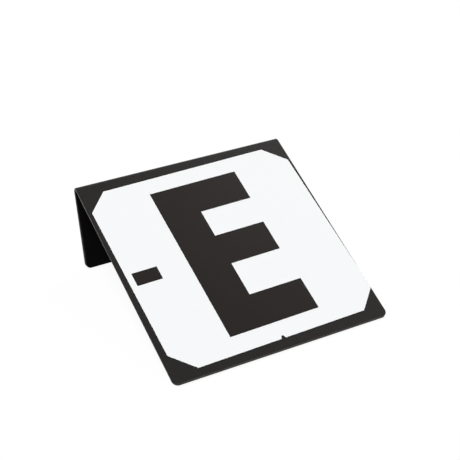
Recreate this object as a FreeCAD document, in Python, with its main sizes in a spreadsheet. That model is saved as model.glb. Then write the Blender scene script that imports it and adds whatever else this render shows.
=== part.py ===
import FreeCAD, Part
import math
import os
import Sketcher

# Hook-over letter marker: one plastic sheet folded along its top into a face panel and a return flange,
# with a thin white face stuck on the panel.
# Millimetres. The marker stands on the front edge of its panel and on the lower edge of its flange.
# X runs across, to the reader's right, -Y points at the reader and Z is up.
# The origin is on the ground, in the middle of the marker's bounding box.

# Driving dimensions, in millimetres and degrees
SIZES = {
    # Folded sheet
    "sheet_width": 180.0,
    "sheet_thickness": 3.0,
    "panel_run": 182.0,
    "flange_run": 64.0,
    "fold_angle": 55.0,
    "bend_inside_radius": 1.5,
    "corner_radius": 4.5,
    "edge_break": 0.3,
    # Face decal
    "decal_thickness": 0.25,
    "decal_side_margin": 2.5,
    "decal_front_margin": 8.1,
    "decal_back_margin": 6.4,
    "decal_shift": 1.25,
    "decal_turn": 1.0,
    "decal_corner_cut": 16.6,
    "notch_width": 3.7,
    "notch_top": 1.6,
    "notch_height": 2.5,
    "notch_offset": 0.35,
}

# Names for the points of a sketch edge, and for a sketch's own axes
START, END, CENTRE = 1, 2, 3
ACROSS, UPRIGHT = -1, -2

# Two faces meet in a sharp edge where their normals differ by more than this
SHARP_ANGLE = math.radians(30.0)
LENGTH_TOLERANCE = 1e-4

X_AXIS = FreeCAD.Vector(1, 0, 0)
Z_AXIS = FreeCAD.Vector(0, 0, 1)

doc = FreeCAD.newDocument("hook_over_marker")


def make_sheet():
    """The spreadsheet of driving dimensions, one named cell each."""
    sheet = doc.addObject("Spreadsheet::Sheet", "sizes")
    for row, (name, value) in enumerate(SIZES.items(), start=1):
        sheet.set(f"A{row}", name)
        sheet.set(f"B{row}", str(value))
        sheet.setAlias(f"B{row}", name)
    doc.recompute()
    return sheet


def new_sketch(body, name, role):
    """A sketch on one of the body's own origin planes."""
    plane = next(item for item in body.Origin.OriginFeatures if item.Role == role)
    sketch = body.newObject("Sketcher::SketchObject", name)
    sketch.AttachmentSupport = [(plane, "")]
    sketch.MapMode = "FlatFace"
    return sketch


def constrain(sketch, *constraint):
    """Add a constraint to a sketch."""
    return sketch.addConstraint(Sketcher.Constraint(*constraint))


def drive(sketch, name, formula, *constraint):
    """Add a named dimension to a sketch and tie it to the sizes."""
    sketch.renameConstraint(constrain(sketch, *constraint), name)
    sketch.setExpression(f"Constraints.{name}", formula)


def measure(sketch, name, *constraint):
    """Add a named reference dimension, which reads the solved sketch."""
    index = constrain(sketch, *constraint)
    sketch.setDriving(index, False)
    sketch.renameConstraint(index, name)


def closed_outline(sketch, corners):
    """Straight sides through the corners, each joined to the next."""
    points = [FreeCAD.Vector(x, y, 0) for x, y in corners]
    sides = [
        sketch.addGeometry(Part.LineSegment(point, following))
        for point, following in zip(points, points[1:] + points[:1])
    ]
    for side, following in zip(sides, sides[1:] + sides[:1]):
        constrain(sketch, "Coincident", side, END, following, START)
    return sides


def section_points(sheet):
    """Where the section's corners lie as the folded sheet stands, to start its sketch from, and its slope."""
    thickness = sheet.sheet_thickness
    inside_radius = sheet.bend_inside_radius
    outside_radius = inside_radius + thickness
    fold = math.radians(sheet.fold_angle)

    # Lengths to the sharp corner that the outer faces would meet in, and the panel's slope from those
    setback = outside_radius / math.tan(fold / 2)
    panel = sheet.panel_run + setback
    flange = sheet.flange_run + setback
    slope = math.atan2(flange * math.sin(fold) - thickness, panel - flange * math.cos(fold))
    depth = sheet.panel_run * math.cos(slope) + outside_radius * (1 + math.sin(slope))

    along = FreeCAD.Vector(math.cos(slope), math.sin(slope), 0)
    out = FreeCAD.Vector(-math.sin(slope), math.cos(slope), 0)
    flange_down = FreeCAD.Vector(-math.cos(fold + slope), -math.sin(fold + slope), 0)
    flange_out = FreeCAD.Vector(math.sin(fold + slope), -math.cos(fold + slope), 0)

    front = FreeCAD.Vector(-depth / 2, thickness * math.cos(slope), 0)
    panel_top = front + along * sheet.panel_run
    centre = panel_top - out * outside_radius
    flange_top = centre + flange_out * outside_radius
    flange_top_inside = centre + flange_out * inside_radius
    points = {
        "front_low": front - out * thickness,
        "front_high": front,
        "panel_top": panel_top,
        "flange_top": flange_top,
        "flange_foot": flange_top + flange_down * sheet.flange_run,
        "flange_foot_inside": flange_top_inside + flange_down * sheet.flange_run,
        "flange_top_inside": flange_top_inside,
        "panel_top_inside": centre + out * inside_radius,
        "bend_centre": centre,
        "back": FreeCAD.Vector(depth / 2, centre.y, 0),
        "back_low": FreeCAD.Vector(depth / 2, front.y, 0),
    }
    return points, slope


def draw_section(sketch, sheet):
    """The folded sheet's section: two straight runs joined by a bend, standing on its two free edges."""
    point, slope = section_points(sheet)

    def line(start, end):
        return sketch.addGeometry(Part.LineSegment(point[start], point[end]))

    def bend(start, end):
        centre = point["bend_centre"]
        ray = point[start] + point[end] - centre * 2
        middle = centre + ray.normalize() * (point[start] - centre).Length
        return sketch.addGeometry(Part.Arc(point[start], middle, point[end]))

    front_cut = line("front_low", "front_high")
    face = line("front_high", "panel_top")
    outer_bend = bend("panel_top", "flange_top")
    flange_back = line("flange_top", "flange_foot")
    flange_cut = line("flange_foot", "flange_foot_inside")
    flange_inside = line("flange_foot_inside", "flange_top_inside")
    inner_bend = bend("panel_top_inside", "flange_top_inside")
    underside = line("panel_top_inside", "front_low")
    back_line = line("back", "back_low")
    sketch.setConstruction(back_line, True)

    constrain(sketch, "Coincident", front_cut, END, face, START)
    constrain(sketch, "Coincident", flange_back, END, flange_cut, START)
    constrain(sketch, "Coincident", flange_cut, END, flange_inside, START)
    constrain(sketch, "Coincident", underside, END, front_cut, START)

    # The runs are tangent to two concentric arcs, which start at the flange and end at the panel
    constrain(sketch, "Coincident", outer_bend, CENTRE, inner_bend, CENTRE)
    constrain(sketch, "Tangent", face, END, outer_bend, END)
    constrain(sketch, "Tangent", flange_back, START, outer_bend, START)
    constrain(sketch, "Tangent", flange_inside, END, inner_bend, START)
    constrain(sketch, "Tangent", underside, START, inner_bend, END)
    for cut, run in (
        (front_cut, face),
        (front_cut, underside),
        (flange_cut, flange_back),
        (flange_cut, flange_inside),
    ):
        constrain(sketch, "Perpendicular", cut, run)

    # Both free edges stand on the ground, and the section is centred front to back
    constrain(sketch, "PointOnObject", front_cut, START, ACROSS)
    constrain(sketch, "PointOnObject", flange_back, END, ACROSS)
    constrain(sketch, "Vertical", back_line)
    constrain(sketch, "Tangent", outer_bend, back_line)
    constrain(sketch, "Horizontal", outer_bend, CENTRE, back_line, START)
    constrain(sketch, "Symmetric", face, START, back_line, END, UPRIGHT)

    drive(sketch, "panel_run", "sizes.panel_run", "Distance", face, sheet.panel_run)
    drive(sketch, "flange_run", "sizes.flange_run", "Distance", flange_back, sheet.flange_run)
    drive(sketch, "thickness", "sizes.sheet_thickness", "Distance", front_cut, sheet.sheet_thickness)
    drive(sketch, "inside", "sizes.bend_inside_radius", "Radius", inner_bend, sheet.bend_inside_radius)
    fold = math.radians(sheet.fold_angle)
    drive(sketch, "fold", "sizes.fold_angle", "Angle", face, END, flange_back, START, fold)

    # Where the panel's face starts and how steeply it rises, for what is stuck on it
    front = point["front_high"]
    measure(sketch, "front_y", "DistanceX", ACROSS, START, face, START, front.x)
    measure(sketch, "front_z", "DistanceY", ACROSS, START, face, START, front.y)
    measure(sketch, "slope", "Angle", ACROSS, face, slope)


def corner_edges(shape, sheet):
    """The short edges across the sheet's thickness, at its free corners."""
    return [
        f"Edge{number}"
        for number, edge in enumerate(shape.Edges, start=1)
        if isinstance(edge.Curve, Part.Line)
        and math.isclose(edge.Length, sheet.sheet_thickness, abs_tol=LENGTH_TOLERANCE)
    ]


def sharp_edges(shape):
    """The edges where two faces meet at an angle, and not smoothly."""
    names = []
    for number, edge in enumerate(shape.Edges, start=1):
        middle = edge.valueAt((edge.FirstParameter + edge.LastParameter) / 2)
        first, second = (
            face.normalAt(*face.Surface.parameter(middle))
            for face in shape.ancestorsOfType(edge, Part.Face)
        )
        if first.getAngle(second) > SHARP_ANGLE:
            names.append(f"Edge{number}")
    return names


def round_edges(body, name, base, edges, radius):
    """A fillet on the named edges of a body's feature."""
    fillet = body.newObject("PartDesign::Fillet", name)
    fillet.Base = (base, edges)
    fillet.setExpression("Radius", radius)
    doc.recompute()
    return fillet


def bevel_edges(body, name, base, edges, size):
    """A flat bevel on the named edges of a body's feature."""
    chamfer = body.newObject("PartDesign::Chamfer", name)
    chamfer.Base = (base, edges)
    chamfer.setExpression("Size", size)
    doc.recompute()
    return chamfer


def make_folded_sheet(sheet):
    """The folded sheet: its section run across the width, with rounded corners and scraped edges."""
    body = doc.addObject("PartDesign::Body", "folded_sheet")
    section = new_sketch(body, "section", "YZ_Plane")
    draw_section(section, sheet)
    run = body.newObject("PartDesign::Pad", "run_across")
    run.Profile = section
    run.SideType = "Symmetric"
    run.setExpression("Length", "sizes.sheet_width")
    doc.recompute()

    corners = round_edges(body, "corners", run, corner_edges(run.Shape, sheet), "sizes.corner_radius")
    bevel_edges(body, "edge_break", corners, sharp_edges(corners.Shape), "sizes.edge_break")
    return body


def draw_decal_outline(sketch, sheet):
    """The decal's outline about its own centre: cut corners, and a blunt notch in its front edge."""
    half_width = sheet.sheet_width / 2 - sheet.decal_side_margin
    half_height = (sheet.panel_run - sheet.decal_front_margin - sheet.decal_back_margin) / 2
    cut = sheet.decal_corner_cut
    half_notch = sheet.notch_width / 2
    half_notch_top = sheet.notch_top / 2
    corners = [
        (-half_width + cut, -half_height),
        (-sheet.notch_offset - half_notch, -half_height),
        (-sheet.notch_offset - half_notch_top, -half_height + sheet.notch_height),
        (-sheet.notch_offset + half_notch_top, -half_height + sheet.notch_height),
        (-sheet.notch_offset + half_notch, -half_height),
        (half_width - cut, -half_height),
        (half_width, -half_height + cut),
        (half_width, half_height - cut),
        (half_width - cut, half_height),
        (-half_width + cut, half_height),
        (-half_width, half_height - cut),
        (-half_width, -half_height + cut),
    ]
    sides = closed_outline(sketch, corners)
    front_left, notch_left, notch_top, notch_right, front_right, _, right, _, back, _, left, _ = sides

    constrain(sketch, "Horizontal", front_left)
    constrain(sketch, "Horizontal", front_right)
    constrain(sketch, "Horizontal", notch_top)
    constrain(sketch, "Equal", notch_left, notch_right)
    constrain(sketch, "Symmetric", front_left, START, front_right, END, UPRIGHT)
    constrain(sketch, "Symmetric", back, START, back, END, UPRIGHT)
    constrain(sketch, "Symmetric", left, END, right, START, UPRIGHT)
    constrain(sketch, "Symmetric", right, START, right, END, ACROSS)
    constrain(sketch, "Symmetric", left, START, left, END, ACROSS)
    constrain(sketch, "Symmetric", front_left, START, back, END, ACROSS)

    width = "sizes.sheet_width - 2 * sizes.decal_side_margin"
    height = "sizes.panel_run - sizes.decal_front_margin - sizes.decal_back_margin"
    drive(sketch, "width", width, "DistanceX", left, END, right, START, 2 * half_width)
    drive(sketch, "height", height, "DistanceY", front_left, START, back, END, 2 * half_height)
    cut_size = "sizes.decal_corner_cut"
    drive(sketch, "cut_across", cut_size, "DistanceX", left, END, front_left, START, cut)
    drive(sketch, "cut_upright", cut_size, "DistanceY", front_left, START, left, END, cut)

    notch_mouth = (notch_left, START, notch_right, END)
    drive(sketch, "notch_width", "sizes.notch_width", "DistanceX", *notch_mouth, sheet.notch_width)
    notch_roof = (notch_top, START, notch_top, END)
    drive(sketch, "notch_top", "sizes.notch_top", "DistanceX", *notch_roof, sheet.notch_top)
    notch_rise = (notch_left, START, notch_left, END)
    drive(sketch, "notch_height", "sizes.notch_height", "DistanceY", *notch_rise, sheet.notch_height)
    notch_start = "sizes.notch_offset + sizes.notch_width / 2"
    from_middle = sheet.notch_offset + half_notch
    drive(sketch, "notch_start", notch_start, "DistanceX", notch_left, START, ACROSS, START, from_middle)


def draw_trim_strip(sketch, sheet):
    """The strip beyond the flat of the panel's right side, where the decal is cut flush."""
    inner = sheet.sheet_width / 2 - sheet.edge_break
    outer = sheet.sheet_width
    corners = [(inner, 0), (outer, 0), (outer, sheet.panel_run), (inner, sheet.panel_run)]
    front, outer_side, back, inner_side = closed_outline(sketch, corners)
    constrain(sketch, "Vertical", outer_side)
    constrain(sketch, "Vertical", inner_side)
    constrain(sketch, "Horizontal", back)
    constrain(sketch, "PointOnObject", front, START, ACROSS)
    constrain(sketch, "PointOnObject", front, END, ACROSS)
    flat = "sizes.sheet_width / 2 - sizes.edge_break"
    drive(sketch, "flat", flat, "DistanceX", ACROSS, START, front, START, inner)
    drive(sketch, "outer", "sizes.sheet_width", "DistanceX", ACROSS, START, front, END, outer)
    drive(sketch, "run", "sizes.panel_run", "DistanceY", outer_side, START, outer_side, END, sheet.panel_run)


def make_face_decal(sheet):
    """The white face: a thin film stuck on the panel, a little turned, and flush with its right side."""
    body = doc.addObject("PartDesign::Body", "face_decal")
    outline = new_sketch(body, "decal_outline", "XY_Plane")
    draw_decal_outline(outline, sheet)
    turn = FreeCAD.Rotation(Z_AXIS, sheet.decal_turn)
    outline.AttachmentOffset = FreeCAD.Placement(FreeCAD.Vector(), turn)
    middle = "(sizes.panel_run + sizes.decal_front_margin - sizes.decal_back_margin) / 2"
    outline.setExpression("AttachmentOffset.Base.x", "sizes.decal_shift")
    outline.setExpression("AttachmentOffset.Base.y", middle)
    outline.setExpression("AttachmentOffset.Rotation.Angle", "sizes.decal_turn")
    film = body.newObject("PartDesign::Pad", "film")
    film.Profile = outline
    film.setExpression("Length", "sizes.decal_thickness")

    strip = new_sketch(body, "trim_strip", "XY_Plane")
    draw_trim_strip(strip, sheet)
    trim = body.newObject("PartDesign::Pocket", "flush_trim")
    trim.Profile = strip
    trim.Type = "ThroughAll"
    trim.SideType = "Symmetric"

    # The decal's own plane is the panel's face, measured upwards from the face's front edge
    _, slope = section_points(sheet)
    lean = FreeCAD.Rotation(X_AXIS, math.degrees(slope))
    body.Placement = FreeCAD.Placement(FreeCAD.Vector(), lean)
    body.setExpression("Placement.Base.y", "section.Constraints.front_y")
    body.setExpression("Placement.Base.z", "section.Constraints.front_z")
    body.setExpression("Placement.Rotation.Angle", "section.Constraints.slope")
    doc.recompute()
    return body


def check_document(nodes):
    """Stop if an object failed, or a sub-part is not one valid solid."""
    for item in doc.Objects:
        if {"Invalid", "Error"} & set(item.State):
            raise RuntimeError(f"{item.Name} failed: {item.State}")
    for node in nodes:
        shape = node.Shape
        if shape.isNull() or not shape.isValid() or len(shape.Solids) != 1:
            raise RuntimeError(f"{node.Label} is not one valid solid")


sheet = make_sheet()
nodes = [make_folded_sheet(sheet), make_face_decal(sheet)]
doc.recompute()
check_document(nodes)
os.makedirs("parts", exist_ok=True)
for node in nodes:
    node.Shape.exportStep(f"parts/{node.Label}.step")
    print(f"{node.Label}: {node.Shape.Volume:.3f} cubic mm")
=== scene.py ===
import math

import bpy
from mathutils import Matrix, Vector


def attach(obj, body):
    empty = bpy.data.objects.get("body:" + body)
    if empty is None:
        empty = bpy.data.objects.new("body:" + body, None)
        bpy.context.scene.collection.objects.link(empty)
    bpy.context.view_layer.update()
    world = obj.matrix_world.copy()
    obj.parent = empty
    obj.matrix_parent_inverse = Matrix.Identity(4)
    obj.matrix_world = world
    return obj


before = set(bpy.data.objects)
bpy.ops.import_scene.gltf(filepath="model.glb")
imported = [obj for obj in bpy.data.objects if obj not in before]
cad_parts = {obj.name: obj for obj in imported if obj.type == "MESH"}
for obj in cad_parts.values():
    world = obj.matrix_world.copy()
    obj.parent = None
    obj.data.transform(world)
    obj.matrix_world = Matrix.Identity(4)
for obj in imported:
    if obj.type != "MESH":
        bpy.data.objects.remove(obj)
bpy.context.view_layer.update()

# Hook-over letter marker. The folded sheet and its white face film come from the frame.
# The printed letter and the small plain field beside it are added here.
# Metres, in the frame's axes: X across to the reader's right, -Y towards the reader, Z up.

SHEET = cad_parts["folded_sheet"]
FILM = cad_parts["face_decal"]
MM = 0.001
ACROSS = Vector((1.0, 0.0, 0.0))
BACKWARD = Vector((0.0, 1.0, 0.0))
UPWARD = Vector((0.0, 0.0, 1.0))
WHITE = (1.0, 1.0, 1.0)
# A face looks about one way where its normal is within 60 degrees of it
ABOUT_THIS_WAY = math.cos(math.radians(60.0))

# Camera, as in the photograph
CAMERA_AIM = Vector((2.51, 4.44, 49.78)) * MM
CAMERA_DISTANCE = 890.4 * MM
CAMERA_AZIMUTH = math.radians(-29.585)
CAMERA_ELEVATION = math.radians(33.667)
CAMERA_ROLL = math.radians(1.912)
CAMERA_LENS = 91.47
CAMERA_SENSOR = 36.0

# Light and floor. Each lamp: where it shines from, its strength and how wide it looks
LAMPS = {
    "overhead_softbox": (Vector((-0.30, 0.13, 0.94)), 2.55, math.radians(25.0)),
    "back_softbox": (Vector((0.58, 0.32, 0.75)), 0.62, math.radians(15.0)),
}
WORLD_STRENGTH = 0.2
FLOOR_SIZE = 12.0
FLOOR_BOUNCE = (0.3, 0.3, 0.3)
FLOOR_GLOW = 0.92

# Face film, as it was before its right side was cut flush with the sheet
FILM_WIDTH = 175.0 * MM
FILM_TURN = math.radians(1.0)

# Print on the film, measured from the film's centre
INK_THICKNESS = 0.1 * MM
INK_SINK = 0.02 * MM
INK_CORNER = 0.25 * MM
INK_CORNER_STEPS = 3
LETTER_LEFT = -37.6 * MM
LETTER_STEM = 31.2 * MM
# Each arm of the letter, from the lowest: its lower edge, its upper edge and how far right it reaches
LETTER_ARMS = (
    (-69.15 * MM, -40.85 * MM, 38.45 * MM),
    (-10.7 * MM, 16.8 * MM, 36.65 * MM),
    (41.45 * MM, 69.8 * MM, 38.1 * MM),
)
FIELD_LEFT = -82.6 * MM
FIELD_RIGHT = -61.8 * MM
FIELD_LOW = -5.75 * MM
FIELD_HIGH = 5.8 * MM

# Patterns of the materials: the size of their spots and how many finer layers they hold
SHEET_CLOUDS = (36 * MM, 3.0)
SHEET_MOTTLE = (3 * MM, 2.0)
SHEET_GRAIN = (0.45 * MM, 3.0)
# Patches that break up the paler cut ends and the painted arris highlight
SHEET_PATCHES = (6 * MM, 5.0)
FILM_CLOUDS = (60 * MM, 3.0)
FILM_PEEL = (1.3 * MM, 2.0)
FILM_DUST = (0.9 * MM, 4.0)
INK_CLOUDS = (30 * MM, 3.0)
INK_LAY = (0.8 * MM, 3.0)
# Where most values of one pattern lie, and of the sum of two
PATTERN_SPREAD = (0.3, 0.7)
SUM_SPREAD = (0.7, 1.3)

# Black sheet: linear colours of its faces and its cut edges, and its painted shade and painted light
SHEET_DARK = (0.0090, 0.0077, 0.0072)
SHEET_LIGHT = (0.0124, 0.0108, 0.0102)
SHEET_SPOTS = (0.0190, 0.0170, 0.0162)
# Painted shade: the colour under the panel and inside the flange, darkened where shade falls there
INSIDE_PAINTED_SHADE = (0.0030, 0.0026, 0.0026)
SIDE_CUT_COLOUR = (0.0085, 0.0078, 0.0075)
# Painted light on the flange's sides: painted shade near the fold, paler towards the foot
FLANGE_SIDE_PAINTED_LIGHT = (0.042, 0.031, 0.027)
# Cut ends: paler cut plastic, partly painted light standing in for light from the floor
END_CUT_AND_PAINTED_LIGHT = (0.150, 0.134, 0.128)
# Painted highlight along the panel's lower side arris
ARRIS_PAINTED_HIGHLIGHT = (0.330, 0.318, 0.325)
# How strongly some of them show, and the sheet's gloss and relief
SPOTS_SHARE = 0.3
FLANGE_CUT_SHARE = 0.5
PATCH_SHARE = (0.6, 1.0)
SHEET_ROUGHNESS = (0.33, 0.42)
CUT_ROUGHNESS = 0.6
INSIDE_ROUGHNESS = 0.9
SHEET_SPECULAR = 0.1
SHEET_WAVE_HEIGHT = 0.06 * MM
SHEET_GRAIN_HEIGHT = 0.012 * MM

# Black sheet: the spans over which its zones fade, as depths below its outer planes
INSIDE_DEPTH = (2.6 * MM, 2.9 * MM)
END_CUT_DEPTH = (5.5 * MM, 6.0 * MM)
ARRIS_DEPTH = (0.6 * MM, 1.3 * MM)
FLANGE_FOOT_DEPTH = (5 * MM, 45 * MM)
HIGHLIGHT_START_DEPTH = (1.5 * MM, 1.9 * MM)
HIGHLIGHT_STOP_DEPTH = (3.1 * MM, 3.3 * MM)
HIGHLIGHT_RUN = (60 * MM, 175 * MM)
# How squarely a face has to look sideways, or past an end of the sheet, to count as cut there
END_FACING = (0.5, 0.8)
SIDE_FACING = (0.85, 0.97)
SIDE_OR_BEVEL_FACING = (0.5, 0.7)

# White film: linear colours, specks, gloss and relief
FILM_DIM = (0.910, 0.922, 0.930)
FILM_BRIGHT = (0.922, 0.932, 0.937)
FILM_SPECK = (0.70, 0.69, 0.67)
FILM_EDGE = (0.55, 0.55, 0.54)
SPECK_SPREAD = (0.68, 0.78)
SPECK_SHARE = (0.0, 0.12)
FILM_FACING = (0.4, 0.8)
FILM_ROUGHNESS = (0.54, 0.62)
FILM_SPECULAR = 0.2
FILM_PEEL_HEIGHT = 0.006 * MM

# Black print: linear colours, gloss and relief
INK_DARK = (0.0088, 0.0056, 0.0048)
INK_LIGHT = (0.0111, 0.0076, 0.0066)
INK_ROUGHNESS = (0.34, 0.42)
INK_SPECULAR = 0.1
INK_LAY_HEIGHT = 0.006 * MM


def add_object(name, data):
    """A new object in the scene."""
    item = bpy.data.objects.new(name, data)
    bpy.context.scene.collection.objects.link(item)
    return item


def assign_material(node, material):
    """One material all over a node of the frame."""
    for slot in node.material_slots:
        slot.link = "OBJECT"
        slot.material = material


def main_normal(mesh, direction):
    """The direction of a mesh's largest face that looks about this way."""
    facing = [face for face in mesh.polygons if face.normal.dot(direction) > ABOUT_THIS_WAY]
    return max(facing, key=lambda face: face.area).normal.normalized()


def film_plane():
    """The film's upper face: its centre, with X across the film, Y up its slope and Z out of it."""
    mesh = FILM.data
    normal = main_normal(mesh, UPWARD)
    turn = Matrix.Rotation(FILM_TURN, 3, normal)
    across = turn @ ACROSS
    upward = turn @ normal.cross(ACROSS)
    lefts = [vertex.co.dot(across) for vertex in mesh.vertices]
    heights = [vertex.co.dot(upward) for vertex in mesh.vertices]
    centre = (
        across * (min(lefts) + FILM_WIDTH / 2)
        + upward * (min(heights) + max(heights)) / 2
        + normal * max(vertex.co.dot(normal) for vertex in mesh.vertices)
    )
    plane = Matrix((across, upward, normal)).transposed().to_4x4()
    plane.translation = centre
    return plane


def letter_outline():
    """Corners of the block letter: a stem with three arms, counter-clockwise from its lower left."""
    stem = LETTER_LEFT + LETTER_STEM
    corners = [(LETTER_LEFT, LETTER_ARMS[0][0])]
    for low, high, reach in LETTER_ARMS:
        corners += [(stem, low), (reach, low), (reach, high), (stem, high)]
    # The lowest and highest arms run straight on from the stem
    del corners[-1], corners[1]
    corners.append((LETTER_LEFT, LETTER_ARMS[-1][1]))
    return corners


def field_outline():
    """Corners of the small plain field beside the letter."""
    return [
        (FIELD_LEFT, FIELD_LOW),
        (FIELD_RIGHT, FIELD_LOW),
        (FIELD_RIGHT, FIELD_HIGH),
        (FIELD_LEFT, FIELD_HIGH),
    ]


def rounded_outline(corners):
    """An outline whose square corners are turned into small arcs."""
    corners = [Vector(corner) for corner in corners]
    points = []
    for before, corner, after in zip(corners[-1:] + corners, corners, corners[1:] + corners):
        arriving = (before - corner).normalized() * INK_CORNER
        leaving = (after - corner).normalized() * INK_CORNER
        centre = corner + arriving + leaving
        for step in range(INK_CORNER_STEPS + 1):
            angle = math.pi / 2 * step / INK_CORNER_STEPS
            points.append(centre - leaving * math.cos(angle) - arriving * math.sin(angle))
    return points


def make_print(name, outline, plane, material):
    """A thin layer of ink on the film, with softened corners. The outline runs counter-clockwise."""
    points = rounded_outline(outline)
    count = len(points)
    low = [(x, y, -INK_SINK) for x, y in points]
    high = [(x, y, INK_THICKNESS) for x, y in points]
    underside = tuple(reversed(range(count)))
    upper_side = tuple(range(count, 2 * count))
    edges = []
    for first in range(count):
        second = (first + 1) % count
        edges.append((first, second, second + count, first + count))
    mesh = bpy.data.meshes.new(name)
    mesh.from_pydata(low + high, [], [underside, upper_side, *edges])
    mesh.materials.append(material)
    piece = add_object(name, mesh)
    piece.matrix_world = plane
    bpy.context.view_layer.update()
    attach(piece, "root")


def add_node(tree, kind, inputs=None, **settings):
    """A shader node with its settings and inputs. An input that is a socket is linked."""
    node = tree.nodes.new(kind)
    for name, value in settings.items():
        setattr(node, name, value)
    for key, value in (inputs or {}).items():
        if isinstance(value, bpy.types.NodeSocket):
            tree.links.new(value, node.inputs[key])
        else:
            node.inputs[key].default_value = value
    return node


def new_material(name):
    """A node material, its node tree, its shader and the place on the object that its patterns go by."""
    material = bpy.data.materials.new(name)
    material.use_nodes = True
    tree = material.node_tree
    shader = tree.nodes["Principled BSDF"]
    place = add_node(tree, "ShaderNodeTexCoord").outputs["Object"]
    return material, tree, shader, place


def face_normal(tree):
    """The direction that the object's own face looks in, without any bump."""
    return add_node(tree, "ShaderNodeNewGeometry").outputs["True Normal"]


def noise(tree, place, pattern):
    """Cloudy variation from 0 to 1 in the spots of a pattern."""
    size, layers = pattern
    inputs = {"Vector": place, "Scale": 1.0 / size, "Detail": layers}
    return add_node(tree, "ShaderNodeTexNoise", inputs).outputs["Fac"]


def rescale(tree, value, span, result):
    """The value over its span, carried smoothly to the span of the result."""
    inputs = dict(enumerate((value, *span, *result)))
    return add_node(tree, "ShaderNodeMapRange", inputs, interpolation_type="SMOOTHSTEP").outputs[0]


def fade_in(tree, value, span):
    """0 before the span and 1 after it."""
    return rescale(tree, value, span, (0.0, 1.0))


def fade_out(tree, value, span):
    """1 before the span and 0 after it."""
    return rescale(tree, value, span, (1.0, 0.0))


def combine(tree, operation, *values):
    """One value worked out from others by a sum, a difference or the like."""
    return add_node(tree, "ShaderNodeMath", dict(enumerate(values)), operation=operation).outputs[0]


def multiply(tree, first, *factors):
    """A value times one or more factors."""
    for factor in factors:
        first = combine(tree, "MULTIPLY", first, factor)
    return first


def opaque(colour):
    """A linear colour with full opacity, or a colour socket as it is."""
    return colour if isinstance(colour, bpy.types.NodeSocket) else (*colour, 1.0)


def blend_colours(tree, factor, first, second):
    """From the first colour at 0 to the second at 1."""
    inputs = {0: factor, 6: opaque(first), 7: opaque(second)}
    return add_node(tree, "ShaderNodeMix", inputs, data_type="RGBA").outputs[2]


def bump(tree, height, distance, below=None):
    """A normal raised by a height from 0 to 1, over another bump where there is one."""
    inputs = {"Height": height, "Distance": distance, "Strength": 1.0}
    if below is not None:
        inputs["Normal"] = below
    return add_node(tree, "ShaderNodeBump", inputs).outputs["Normal"]


def toward(tree, vector, direction):
    """How far a vector reaches in a direction."""
    inputs = {0: vector, 1: direction}
    return add_node(tree, "ShaderNodeVectorMath", inputs, operation="DOT_PRODUCT").outputs["Value"]


def depth_below(tree, place, outward):
    """How deep a place lies below the sheet's outermost plane in a direction."""
    reach = max(vertex.co.dot(outward) for vertex in SHEET.data.vertices)
    return combine(tree, "SUBTRACT", reach, toward(tree, place, outward))


def free_edge(tree, place, normal, outward):
    """1 on the cut face that ends a run of the sheet in this direction, corners included."""
    facing = fade_in(tree, toward(tree, normal, outward), END_FACING)
    near = fade_out(tree, depth_below(tree, place, outward), END_CUT_DEPTH)
    return multiply(tree, facing, near)


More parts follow.
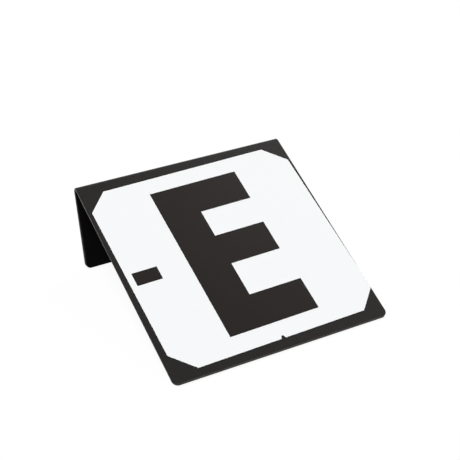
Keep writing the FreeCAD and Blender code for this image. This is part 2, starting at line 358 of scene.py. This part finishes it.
def plastic_material(plane):
    """Black sheet plastic: fine grain, cloudy variation, a matt inside darkened with painted shade, cut
    ends paler partly with painted floor light, painted light on the flange sides and a painted highlight
    on the panel's lower side arris.
    """
    material, tree, shader, place = new_material("black_sheet_plastic")
    normal = face_normal(tree)
    panel_out = plane.col[2].to_3d()
    flange_out = main_normal(SHEET.data, BACKWARD)
    panel_end = ACROSS.cross(panel_out)
    flange_end = flange_out.cross(ACROSS)

    clouds = noise(tree, place, SHEET_CLOUDS)
    mottle = noise(tree, place, SHEET_MOTTLE)
    grain = noise(tree, place, SHEET_GRAIN)
    # Uneven patches that break up the paler cut ends and the painted arris highlight
    patchiness = rescale(tree, noise(tree, place, SHEET_PATCHES), PATTERN_SPREAD, PATCH_SHARE)

    # Under the panel and inside the flange, where the colour is darkened with painted shade
    under_panel = depth_below(tree, place, panel_out)
    under_flange = depth_below(tree, place, flange_out)
    inside = fade_in(tree, combine(tree, "MINIMUM", under_panel, under_flange), INSIDE_DEPTH)

    # Cut faces along the sides and at both ends
    sideways = combine(tree, "ABSOLUTE", toward(tree, normal, ACROSS))
    side_cut = fade_in(tree, sideways, SIDE_FACING)
    panel_cut = free_edge(tree, place, normal, panel_end)
    flange_cut = free_edge(tree, place, normal, flange_end)
    ends = combine(tree, "MAXIMUM", panel_cut, multiply(tree, flange_cut, FLANGE_CUT_SHARE))

    # The flange's sides, with their bevels and inner arrises, carry painted light: painted shade near the
    # fold, paler towards its foot
    from_left = depth_below(tree, place, -ACROSS)
    from_right = depth_below(tree, place, ACROSS)
    near_side = fade_out(tree, combine(tree, "MINIMUM", from_left, from_right), ARRIS_DEPTH)
    inner_arris = multiply(tree, near_side, inside)
    side_or_bevel = fade_in(tree, sideways, SIDE_OR_BEVEL_FACING)
    near_foot = fade_in(tree, under_panel, FLANGE_FOOT_DEPTH)
    flange_side_painted_light = multiply(tree, combine(tree, "MAXIMUM", side_or_bevel, inner_arris), near_foot)

    # The panel's lower side arris carries a painted highlight, brightest near the fold
    below_start = fade_in(tree, under_panel, HIGHLIGHT_START_DEPTH)
    above_stop = fade_out(tree, under_panel, HIGHLIGHT_STOP_DEPTH)
    near_fold = fade_in(tree, depth_below(tree, place, panel_end), HIGHLIGHT_RUN)
    arris_highlight = multiply(tree, side_cut, below_start, above_stop, near_fold)

    colour = blend_colours(tree, clouds, SHEET_DARK, SHEET_LIGHT)
    colour = blend_colours(tree, multiply(tree, mottle, SPOTS_SHARE), colour, SHEET_SPOTS)
    # Painted shade under the panel and inside the flange
    colour = blend_colours(tree, inside, colour, INSIDE_PAINTED_SHADE)
    colour = blend_colours(tree, side_cut, colour, SIDE_CUT_COLOUR)
    # Painted light on the flange's sides, paler towards the foot
    colour = blend_colours(tree, flange_side_painted_light, colour, FLANGE_SIDE_PAINTED_LIGHT)
    # Cut ends paler, partly painted floor light
    colour = blend_colours(tree, multiply(tree, ends, patchiness), colour, END_CUT_AND_PAINTED_LIGHT)
    # Painted highlight along the panel's lower side arris, brightest near the fold
    colour = blend_colours(tree, multiply(tree, arris_highlight, patchiness), colour, ARRIS_PAINTED_HIGHLIGHT)
    tree.links.new(colour, shader.inputs["Base Color"])

    satin = rescale(tree, combine(tree, "ADD", clouds, mottle), SUM_SPREAD, SHEET_ROUGHNESS)
    rough = multiply(tree, combine(tree, "MAXIMUM", side_cut, ends), CUT_ROUGHNESS)
    rough = combine(tree, "MAXIMUM", rough, multiply(tree, inside, INSIDE_ROUGHNESS))
    tree.links.new(combine(tree, "MAXIMUM", satin, rough), shader.inputs["Roughness"])
    shader.inputs["Specular IOR Level"].default_value = SHEET_SPECULAR

    wavy = bump(tree, clouds, SHEET_WAVE_HEIGHT)
    tree.links.new(bump(tree, grain, SHEET_GRAIN_HEIGHT, wavy), shader.inputs["Normal"])
    return material


def film_material(plane):
    """White face film: a satin skin with faint orange peel and specks, and a greyer cut edge."""
    material, tree, shader, place = new_material("white_face_film")
    clouds = noise(tree, place, FILM_CLOUDS)
    peel = noise(tree, place, FILM_PEEL)
    specks = rescale(tree, noise(tree, place, FILM_DUST), SPECK_SPREAD, SPECK_SHARE)

    colour = blend_colours(tree, clouds, FILM_DIM, FILM_BRIGHT)
    colour = blend_colours(tree, specks, colour, FILM_SPECK)
    edge = fade_out(tree, toward(tree, face_normal(tree), plane.col[2].to_3d()), FILM_FACING)
    colour = blend_colours(tree, edge, colour, FILM_EDGE)
    tree.links.new(colour, shader.inputs["Base Color"])

    tree.links.new(rescale(tree, clouds, PATTERN_SPREAD, FILM_ROUGHNESS), shader.inputs["Roughness"])
    shader.inputs["Specular IOR Level"].default_value = FILM_SPECULAR
    tree.links.new(bump(tree, peel, FILM_PEEL_HEIGHT), shader.inputs["Normal"])
    return material


def ink_material():
    """Black print on the film: a dense satin layer, a little uneven in its colour and its lay."""
    material, tree, shader, place = new_material("black_print")
    clouds = noise(tree, place, INK_CLOUDS)
    lay = noise(tree, place, INK_LAY)
    tree.links.new(blend_colours(tree, clouds, INK_DARK, INK_LIGHT), shader.inputs["Base Color"])
    tree.links.new(rescale(tree, lay, PATTERN_SPREAD, INK_ROUGHNESS), shader.inputs["Roughness"])
    shader.inputs["Specular IOR Level"].default_value = INK_SPECULAR
    tree.links.new(bump(tree, lay, INK_LAY_HEIGHT), shader.inputs["Normal"])
    return material


def seen_directly(tree):
    """1 where the camera sees a surface, also mirrored or through glass, and 0 for the light it gives."""
    rays = add_node(tree, "ShaderNodeLightPath").outputs
    seen = combine(tree, "MAXIMUM", rays["Is Camera Ray"], rays["Is Glossy Ray"])
    return combine(tree, "MAXIMUM", seen, rays["Is Transmission Ray"])


def floor_material():
    """White paper that shows almost plain white and throws only a little light back on the object."""
    material = bpy.data.materials.new("white_floor")
    material.use_nodes = True
    tree = material.node_tree
    paper = tree.nodes["Principled BSDF"]
    paper.inputs["Roughness"].default_value = 1.0
    paper.inputs["Specular IOR Level"].default_value = 0.0
    seen = seen_directly(tree)
    tree.links.new(blend_colours(tree, seen, FLOOR_BOUNCE, WHITE), paper.inputs["Base Color"])
    white = add_node(tree, "ShaderNodeEmission", {"Strength": 1.0})
    share = multiply(tree, seen, FLOOR_GLOW)
    mixed = add_node(tree, "ShaderNodeMixShader", {0: share, 1: paper.outputs[0], 2: white.outputs[0]})
    tree.links.new(mixed.outputs[0], tree.nodes["Material Output"].inputs["Surface"])
    return material


def make_floor():
    """A plain white floor that takes the object's shadow."""
    half = FLOOR_SIZE / 2
    corners = [(-half, -half, 0.0), (half, -half, 0.0), (half, half, 0.0), (-half, half, 0.0)]
    mesh = bpy.data.meshes.new("floor")
    mesh.from_pydata(corners, [], [(0, 1, 2, 3)])
    mesh.materials.append(floor_material())
    floor = add_object("floor", mesh)


def light_scene():
    """Two wide soft lamps in a white room."""
    for name, (shines_from, strength, width) in LAMPS.items():
        lamp = bpy.data.lights.new(name, "SUN")
        lamp.energy = strength
        lamp.angle = width
        softbox = add_object(name, lamp)
        softbox.rotation_mode = "QUATERNION"
        softbox.rotation_quaternion = (-shines_from).to_track_quat("-Z", "Y")
        softbox.location = shines_from

    world = bpy.data.worlds.new("white_room")
    world.use_nodes = True
    bpy.context.scene.world = world
    tree = world.node_tree
    room = tree.nodes["Background"]
    room.inputs["Color"].default_value = opaque(WHITE)
    strength = rescale(tree, seen_directly(tree), (0.0, 1.0), (WORLD_STRENGTH, 1.0))
    tree.links.new(strength, room.inputs["Strength"])


def make_camera():
    """The photograph's viewpoint."""
    back = Vector((
        math.sin(CAMERA_AZIMUTH) * math.cos(CAMERA_ELEVATION),
        -math.cos(CAMERA_AZIMUTH) * math.cos(CAMERA_ELEVATION),
        math.sin(CAMERA_ELEVATION),
    ))
    level = Vector((math.cos(CAMERA_AZIMUTH), math.sin(CAMERA_AZIMUTH), 0.0))
    right = Matrix.Rotation(CAMERA_ROLL, 3, back) @ level
    lens = bpy.data.cameras.new("photo_camera")
    lens.sensor_width = CAMERA_SENSOR
    lens.lens = CAMERA_LENS
    camera = add_object("photo_camera", lens)
    place = Matrix((right, back.cross(right), back)).transposed().to_4x4()
    place.translation = CAMERA_AIM + back * CAMERA_DISTANCE
    camera.matrix_world = place
    bpy.context.scene.camera = camera


face_plane = film_plane()
assign_material(SHEET, plastic_material(face_plane))
assign_material(FILM, film_material(face_plane))
black_print = ink_material()
make_print("letter", letter_outline(), face_plane, black_print)
make_print("plain_field", field_outline(), face_plane, black_print)
make_floor()
light_scene()
make_camera()
bpy.context.scene.view_settings.view_transform = "Standard"
